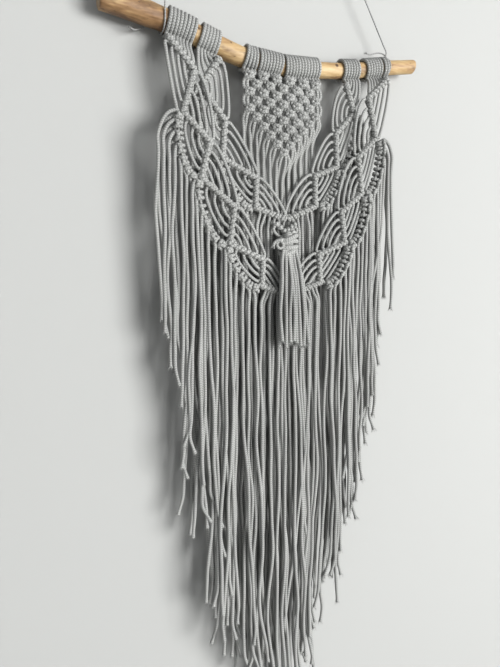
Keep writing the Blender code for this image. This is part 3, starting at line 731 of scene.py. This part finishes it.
# path of the edge, strands, x of the first and the last, y of the front and the back row
pointFringes = {
    "fringe_outer_tip": (((-41, -317.5), (-4, -328.5), (43, -314)), 16, -46, 46, -34.0, -29.0),
    "fringe_inner_tip": (((-42, -213.5), (1, -226.5), (45, -207)), 12, -44, 44, -19.5, -14.5),
}
leaf = {
    # the rows' distance from the leaf's cord, strands' spacing and room beside their roots
    "rowOffset": 4.5, "rowStep": 4.7, "rootClear": 8.2, "sag": 0.1, "lowBulge": 0.1,
    "tangentStep": 0.02,
    "start": 0.5, "end": 2.2,                # how far the leaf's cord stays off the bars
    "cord": 1.9, "cordKeys": 8, "thick": 2.4,
    # a strand's shoulder: how far out at least, more by its shift, how far it stands forward
    "shoulder": 3.5, "shoulderShare": 0.4, "shiftShare": 0.55, "leastShift": 5.0, "forward": 2.0,
    "drop": 9.0, "dropShare": 0.8,           # and how far below it the free part begins
    # the turn round the leaf's cord: degrees, distance, share of the way to the fold's middle
    "turn": ((-22, 8.2, 0.95), (-30, 7.8, 0.1), (-75, 6.4, -0.25), (-120, 4.6, -0.1),
             (-165, 4.0, 0), (-210, 4.0, 0), (-255, 4.0, 0.08), (-300, 4.0, 0.12),
             (-345, 4.0, 0.12)),
}


def trimmed(x, chance):
    return read(trim, x) + chance.uniform(-fringe["spread"], fringe["spread"])


def hang(x, y, middleY, top, end, chance):
    # The free part of a strand, a little wavy, its cut end flared: it starts in its row at y
    # and drifts towards the middle between the rows
    s = fringe
    span = top - end
    lean = chance.gauss(0, 1) * s["sway"] * min(1, span / s["fullSway"])
    deep = chance.uniform(-s["deep"], s["deep"])
    seed = chance.uniform(0, 100)
    flick = chance.gauss(0, s["flick"])
    count = max(3, round(span / s["keySpan"]))
    keys = []
    for n in range(count + 1):
        part = n / count
        z = top - span * part
        low = min(1, (top - z) / s["settle"])
        own = noise.noise(Vector((z * s["ownStep"], seed, 0)))
        own *= s["own"][0] + s["own"][1] * part
        shared = noise.noise(Vector((z * s["sharedStep"], x * s["sharedAcross"], 3)))
        px = x + lean * part ** s["leanPower"] + (own + shared * s["shared"] * part) * low
        py = y + (middleY - y) * s["settled"] * low + deep * low
        py += noise.noise(Vector((z * s["forwardStep"], seed, 9))) * s["forward"] * low
        keys.append(Vector((px, py, z, cord["radius"])))
    tip = keys.pop() + Vector((flick, 0, 0, 0))
    ahead = unit(tip - keys[-1])
    keys.append(tip - ahead * s["flareLength"])
    keys[-1].w = s["neck"]
    tip.w = s["flare"]
    return keys + [tip]


def leafPlaces(firstX, lastX, rootX, side):
    count = len(rootX)
    places = [side * (firstX + (lastX - firstX) * n / (count - 1)) for n in range(count)]
    for n in reversed(range(count - 2)):
        places[n] = max(places[n], places[n + 2] + leaf["rowStep"],
                        side * rootX[n + 2] + leaf["rootClear"])
    return [side * x for x in places]


def makeLeafFringe(name, row):
    owner, corner, strands, firstX, lastX, y, bulge = row
    s = leaf
    garland = knotted[owner]
    side = garland.nestSide(corner)
    first = 0.5 / garland.cells
    p = garland.edge(corner - 1, first, side)
    q = garland.edge(corner, 1 - first, side)
    leave = turned(garland.heading(corner - 1)) * side
    enter = turned(garland.heading(corner)) * side
    span = (q - p).length
    curve = (p + leave * s["start"], p + leave * (bulge * span),
             q + enter * ((bulge + s["lowBulge"]) * span) + flat(0, -s["sag"] * span),
             q + enter * s["end"])
    roots = [bezier(*curve, (n + 0.5) / strands) for n in range(strands)]
    places = leafPlaces(firstX, lastX, [r.x for r in roots], math.copysign(1, firstX))
    chance = random.Random(name)
    legs = []
    for n, (here, x) in enumerate(zip(roots, places)):
        t = (n + 0.5) / strands
        way = bezier(*curve, t + s["tangentStep"]) - bezier(*curve, t - s["tangentStep"])
        out = turned(way.normalized()) * side
        rowY = y + (s["rowOffset"] if n % 2 else -s["rowOffset"])
        foldMiddle = bezier(*curve, (n - n % 2 + 1) / strands)
        keys = []
        for angle, distance, share in s["turn"]:
            a = math.radians(angle)
            spot = here.lerp(foldMiddle, share) - out * (distance * math.sin(a))
            keys.append(sheetPoint(spot, y - distance * math.cos(a), s["thick"]))
        aside = abs(x - here.x)
        reach = s["shoulder"] + s["shoulderShare"] * max(s["leastShift"], s["shiftShare"] * aside)
        keys.append(sheetPoint(here + out * reach, (y + rowY) / 2 - s["forward"], cord["radius"]))
        own = random.Random("%s%d" % (name, n))
        top = here.y - max(s["drop"], s["dropShare"] * aside)
        keys += hang(x, rowY, y, top, trimmed(x, chance), own)
        legs.append(keys)
    paths = folded(legs)
    for path in paths:
        fray(path, chance)
        fray(path[::-1], chance)
    count = s["cordKeys"]
    paths.append(flow([sheetPoint(bezier(*curve, n / count), y, s["cord"])
                       for n in range(-1, count + 2)]))
    stand(sweep(name.replace("fringe", "leafFringe"), paths, cordMaterial), "cord", name)


def makePointFringe(name, row):
    path, strands, firstX, lastX, frontY, backY = row
    a, b, c = (flat(*p) for p in path)
    chance = random.Random(name)
    middle = (frontY + backY) / 2
    paths = []
    for n in range(strands):
        t = (n + 0.5) / strands
        here = a.lerp(b, 2 * t) if t < 0.5 else b.lerp(c, 2 * t - 1)
        x = firstX + (lastX - firstX) * n / (strands - 1)
        own = random.Random("%s%d" % (name, n))
        keys = [sheetPoint(here + flat(0, rise), middle, cord["leader"]) for rise in pointRise]
        keys += hang(x, backY if n % 2 else frontY, middle, here.y - pointDrop,
                     trimmed(x, chance), own)
        paths.append(flow(keys))
        fray(paths[-1], own)
    stand(sweep(name.replace("fringe", "pointFringe"), paths, cordMaterial), "cord", name)


# Net of square knots, and the fringe that its cords become

net = {
    # knots in each row, the net's middle, the first row's height
    "rows": (6, 5, 6, 5, 6, 5, 4, 3, 2, 1), "x": -1.0, "top": -36.0,
    "pitch": 20.0, "rowPitch": 10.4, "y": -14.2,
    # the fringe: x of its first and last strand, y of its two rows, start below the last knots
    "firstX": -56, "lastX": 54, "frontY": -5.9, "backY": -1.1, "fall": 26,
}
squareKnot = {
    # ways through the upper half of a knot: right, back, up from its middle; they mirror below
    "front": ((-6.6, -0.2, 3.8), (-3.9, -3.0, 3.3), (-1.0, -5.2, 2.5), (1.6, -5.1, 2.0),
              (3.9, -2.8, 1.4), (4.5, -1.2, 0.0)),
    "back": ((6.6, -0.2, 3.8), (4.6, 0.2, 3.4), (3.2, 2.6, 2.8), (0, 4.0, 2.6),
             (-3.6, 2.4, 2.3), (-5.0, -1.2, 1.5), (-5.2, -3.1, 0.0)),
    "core": ((-3.4, -0.6, 6.8), (-2.1, -0.8, 4.2), (-1.9, -0.4, 1.8)),
    "thick": 2.65, "coreThick": 2.45, "uneven": 0.3,
}


def knotKeys(keys, group, x, z, chance):
    # The left worker crosses the front twice and the right one the back, round two core cords
    s = squareKnot
    ways = (("front", group[0], 1), ("core", group[1], 1), ("core", group[2], -1),
            ("back", group[3], 1))
    for kind, c, mirror in ways:
        upper = s[kind]
        lower = [(dx, dy, -dz) for dx, dy, dz in upper[::-1] if dz]
        thick = s["coreThick"] if kind == "core" else s["thick"]
        for dx, dy, dz in (*upper, *lower):
            off = Vector([chance.uniform(-1, 1) * s["uneven"] for _ in range(3)])
            keys[c].append(Vector((x + dx * mirror + off.x, net["y"] + dy + off.y,
                                   z + dz + off.z, thick)))


def netKeys(chance):
    # The ways of the 24 cords through the knots
    rows = net["rows"]
    keys = [wrapLeg(*place) for place in cordPlaces(wraps["panel"])]
    order = list(range(len(keys)))
    waiting = []
    for row, count in enumerate(rows):
        for n in range(count):
            x = net["x"] + (n - (count - 1) / 2) * net["pitch"]
            knotKeys(keys, order[4 * n:4 * n + 4], x, net["top"] - row * net["rowPitch"], chance)
        if row + 1 < len(rows):
            if rows[row + 1] > count:
                order = waiting[:2] + order + waiting[2:]
            else:
                waiting = order[:2] + order[-2:]
                order = order[2:-2]
    return keys


def makeNet():
    s = net
    keys = netKeys(random.Random("knots"))
    order = sorted(range(len(keys)), key=lambda c: keys[c][-1].x)
    span = s["lastX"] - s["firstX"]
    spots = [s["firstX"] + span * n / (len(order) - 1) for n in range(len(order))]
    chance = random.Random("fringe_center")
    for n, (c, x) in enumerate(zip(order, spots)):
        own = random.Random("center%d" % n)
        keys[c] += hang(x, s["backY"] if n % 2 else s["frontY"], (s["frontY"] + s["backY"]) / 2,
                        keys[c][-1].z - s["fall"], trimmed(x, chance), own)
    paths = folded(keys)
    for path in paths:
        fray(path, chance)
        fray(path[::-1], chance)
    stand(sweep("knottedNet", paths, cordMaterial), "cord", "center_panel", "fringe_center")


# Tassel

tassel = {
    "x": -4.5, "y": -33.0, "halfX": 13.6, "halfY": 9.6,
    "top": -241.0, "bottom": -265.0, "turns": 4.0, "slant": 0.34, "thick": 3.3, "uneven": 1.5,
    # the wrapping: narrow at its ends, its swell and two slow waves of its turns
    "narrow": 0.9, "swell": 0.2, "wave": 0.04, "waveTurn": 0.37, "overlap": 0.6,
    "unevenTurn": 1.3, "steps": 26,
    "coreThick": 7.5, "core": ((-0.15, 0.6), (0, 0.9), (0.3, 1), (0.7, 1), (1.0, 0.8)),
    "columns": 8, "strand": 2.4, "root": (0.82, 5), "thinner": 0.1, "flare": 0.3,
    "wander": 1.5, "deep": 2.2, "cut": (-6, 4), "step": 4,
    # the skirt: z, half width, y of its front and back row
    "skirt": ((-277, 14.5, -42.0, -37.0), (-303, 19.0, -49.0, -42.5), (-345, 22.0, -52.0, -44.5),
              (-385, 24.0, -54.5, -45.5)),
    # the knot at its left side, right, back and up from the wrapping's middle
    "knot": ((-11.5, -6.5, 5.5), (-17.5, -8.5, 3.5), (-21.0, -7.5, -2.0), (-17.5, -8.0, -6.5),
             (-13.0, -9.0, -4.5), (-14.5, -10.5, 1.0), (-19.5, -9.5, 4.0), (-24.0, -7.5, 1.5),
             (-26.0, -7.0, -4.0)),
}


def makeTassel():
    s = tassel
    chance = random.Random("tassel")
    steps = s["steps"]
    keys = []
    for n in range(round(s["turns"] * steps) + 1):
        part = n / (s["turns"] * steps)
        angle = 2 * math.pi * n / steps
        swell = s["narrow"] + s["swell"] * math.sin(math.pi * part)
        swell += s["wave"] * math.sin(angle * s["waveTurn"])
        x = math.cos(angle) * (s["halfX"] * swell - s["thick"] + s["overlap"])
        y = math.sin(angle) * (s["halfY"] * swell - s["thick"] + s["overlap"])
        z = s["top"] + (s["bottom"] - s["top"]) * part + s["slant"] * x
        z += s["uneven"] * math.sin(angle * s["unevenTurn"])
        keys.append(Vector((s["x"] + x, s["y"] + y, z, s["thick"])))
    paths = [keys]
    height = s["bottom"] - s["top"]
    paths.append([Vector((s["x"], s["y"], s["top"] + height * part, s["coreThick"] * share))
                  for part, share in s["core"]])
    middle = Vector((s["x"], s["y"], (s["top"] + s["bottom"]) / 2, 0))
    knot = [middle + Vector((*p, cord["leader"])) for p in s["knot"]]
    paths.append(flow(knot))
    fray(paths[-1], chance)
    rootShare, rootRise = s["root"]
    for i in range(s["columns"]):
        across = 2 * (i + 0.5) / s["columns"] - 1
        for j in (0, 1):
            line = [Vector((s["x"] + across * s["halfX"] * rootShare,
                            s["y"] + (j - 0.5) * s["halfY"], s["bottom"] + rootRise,
                            s["strand"]))]
            wander = 0
            for z, half, front, back in s["skirt"]:
                wander += chance.gauss(0, s["wander"])
                y = (front, back)[j] + chance.uniform(-s["deep"], s["deep"])
                line.append(Vector((s["x"] + across * half + wander, y, z,
                                    s["strand"] - s["thinner"])))
            line[-1].z += chance.uniform(*s["cut"])
            line[-1].w = s["strand"] + s["flare"]
            paths.append(flow(line, s["step"], s["step"]))
            fray(paths[-1], chance)
    stand(sweep("wrappedTassel", paths, cordMaterial, 10), "cord", "tassel")


ties = {
    "corners": ((-22, -224), (-4, -236.5), (12, -224)), "cords": 4, "y": -25.5, "half": 4.6,
    "leaderShares": (-0.05, 0.5, 0.95),
    "loop": 6.0, "loopShares": (-0.5, 0.45, 1, 0.45, -0.5),      # out from p, p, middle, q, q
}


def makeTies():
    s = ties
    bar = Garland("ties", s["corners"], s["cords"], ((0, s["y"]),), s["half"])
    paths = [flow([sheetPoint(bar.section(b, share)[0], s["y"], cord["leader"])
                   for b in (0, 1) for share in s["leaderShares"]])]
    for b in (0, 1):
        for cell in range(bar.cells):
            paths.append(flow(bar.hitch(b, cell, -1)))
        p = bar.edge(b, 0.5 / bar.cells, -1)
        q = bar.edge(b, 1 - 0.5 / bar.cells, -1)
        out = turned((q - p).normalized()) * -s["loop"]
        loop = [spot + out * share
                for spot, share in zip((p, p, (p + q) / 2, q, q), s["loopShares"])]
        paths.append(flow([sheetPoint(spot, s["y"], cord["leader"]) for spot in loop]))
    stand(sweep("tasselTies", paths, cordMaterial, 10), "cord", "tassel_ties")


# Hanger: two plies of twine round one line

hanger = {
    "radius": 1.2, "gap": 0.5, "ply": 0.68, "plyOut": 0.55, "lay": 6.5, "step": 1.5,
    "tuft": 0.9, "tuftFibres": 6,
    # turns round the branch: first x, last x, first angle, last angle, points
    "leftLoop": (-162.3, -162.0, 0, -183, 9), "rightLoop": (184.2, 181.4, 40, -235, 12),
    # where it leaves them, and its free ends: x, y, z over the branch's middle
    "leftFoot": (-159.8, -11.5, 21.5), "rightFoot": (183.8, 1.0, 23.0),
    "footRun": 8, "nailRun": 6, "nailBend": 3.7, "nailAngles": (152, 122, 92, 62, 32),
    "leftTail": ((-201, 4, -21), (-194, 11, -19), (-186, 16.5, -13), (-177, 19.6, -4),
                 (-171.5, 19.8, 2.6), (-166, 17.9, 4.2)),
    "rightTail": ((180.9, -1.5, 15.4), (178.6, -0.6, 18.8), (172, 0.4, 21.8), (163, 1.0, 22.2),
                  (153, 0.2, 20.8), (145, -1.5, 22.4)),
}


def aroundRod(firstX, lastX, firstAngle, lastAngle, count):
    points = []
    for n in range(count):
        part = n / (count - 1)
        angle = math.radians(firstAngle + part * (lastAngle - firstAngle))
        x = firstX + (lastX - firstX) * part
        reach = read(rodTable, x, 2) + hanger["gap"] + hanger["radius"]
        points.append(Vector((x, reach * math.cos(angle),
                              read(rodTable, x) + reach * math.sin(angle))))
    return points


def overRod(x, y, z):
    return Vector((x, y, read(rodTable, x) + z))


def hangerRoute():
    s = hanger
    center = Vector((0, 0, nailHeight + s["radius"] - s["nailBend"]))
    bend = [center + Vector((math.cos(a), 0, math.sin(a))) * s["nailBend"]
            for a in map(math.radians, s["nailAngles"])]
    leftFoot, rightFoot = overRod(*s["leftFoot"]), overRod(*s["rightFoot"])
    leftLine = (bend[0] - leftFoot).normalized()
    rightLine = (rightFoot - bend[-1]).normalized()
    route = [overRod(*p) for p in s["leftTail"]] + aroundRod(*s["leftLoop"])
    route += [leftFoot, leftFoot + leftLine * s["footRun"], bend[0] - leftLine * s["nailRun"]]
    route += bend + [bend[-1] + rightLine * s["nailRun"], rightFoot - rightLine * s["footRun"]]
    return route + [rightFoot] + aroundRod(*s["rightLoop"]) + [overRod(*p) for p in s["rightTail"]]


def makeHanger():
    s = hanger
    middle = flow([Vector((*p, 1)) for p in hangerRoute()], s["step"], s["step"])
    plies = [[], []]
    side = Vector((0, 1, 0))
    along = 0
    for before, p, after in zip(middle[:1] + middle, middle, middle[1:] + middle[-1:]):
        ahead = (after.xyz - before.xyz).normalized()
        side = (side - ahead * side.dot(ahead)).normalized()
        other = ahead.cross(side)
        along += (p - before).length
        for n, ply in enumerate(plies):
            angle = (along / s["lay"] * 2 + n) * math.pi
            out = side * math.cos(angle) + other * math.sin(angle)
            ply.append(Vector((*(p.xyz + out * s["plyOut"]), s["ply"])))
    chance = random.Random("hanger")
    for ply in plies:
        fray(ply, chance, s["tuft"], s["tuftFibres"])
        fray(ply[::-1], chance, s["tuft"], s["tuftFibres"])
    stand(sweep("twineHanger", plies, twineMaterial, 6), "twine", "hanger_cord")


makeBranch()
makeGarlands()
makeNet()
for name, row in leafFringes.items():
    makeLeafFringe(name, row)
for name, row in pointFringes.items():
    makePointFringe(name, row)
makeTies()
makeTassel()
makeHanger()
stand(sweep("frayedEnds", fibrePaths, cordMaterial, 3), "cord")
print("object made")


# Stage and light

stageSettings = {
    "wallY": 0.024, "floorZ": -1.42, "size": 4, "roughness": 0.95,
    "wall": (0.37, 0.373, 0.362), "floor": (0.5, 0.5, 0.49),
}
lightSettings = {
    "place": (2.3, -4.1, -0.8), "aim": (0, 0, -0.6), "size": 3.0, "power": 530,
    "room": (0.95, 0.97, 1.0), "roomStrength": 0.46,
}


def makePlane(name, place, turn):
    bm = bmesh.new()
    bmesh.ops.create_grid(bm, x_segments=1, y_segments=1, size=stageSettings["size"])
    spot = Matrix.Translation(place) @ Matrix.Rotation(turn, 4, "X")
    bmesh.ops.transform(bm, matrix=spot, verts=bm.verts)
    mesh = bpy.data.meshes.new(name)
    bm.to_mesh(mesh)
    bm.free()
    look = Look(name, stageSettings["roughness"])
    # open from behind, where it would hide the hanging
    shown = 1 - look.node("ShaderNodeNewGeometry", output="Backfacing")
    mesh.materials.append(look.finish(Base_Color=(*stageSettings[name], 1), Alpha=shown))
    plane = bpy.data.objects.new(name, mesh)
    bpy.context.scene.collection.objects.link(plane)


makePlane("wall", Vector((0, stageSettings["wallY"], 0)), math.pi / 2)
makePlane("floor", Vector((0, -3, stageSettings["floorZ"])), 0)


def makeLight(s):
    data = bpy.data.lights.new("window", "AREA")
    data.shape = "DISK"
    data.size = s["size"]
    data.energy = s["power"]
    light = bpy.data.objects.new("window", data)
    light.location = s["place"]
    ahead = Vector(s["aim"]) - Vector(s["place"])
    light.rotation_euler = ahead.to_track_quat("-Z", "Y").to_euler()
    bpy.context.scene.collection.objects.link(light)
    world = bpy.data.worlds.new("room")
    bpy.context.scene.world = world
    world.use_nodes = True
    bpy.context.scene.view_settings.view_transform = "Standard"    # the photo's full contrast
    world.node_tree.nodes["Background"].inputs["Color"].default_value = (*s["room"], 1)
    world.node_tree.nodes["Background"].inputs["Strength"].default_value = s["roomStrength"]


makeLight(lightSettings)
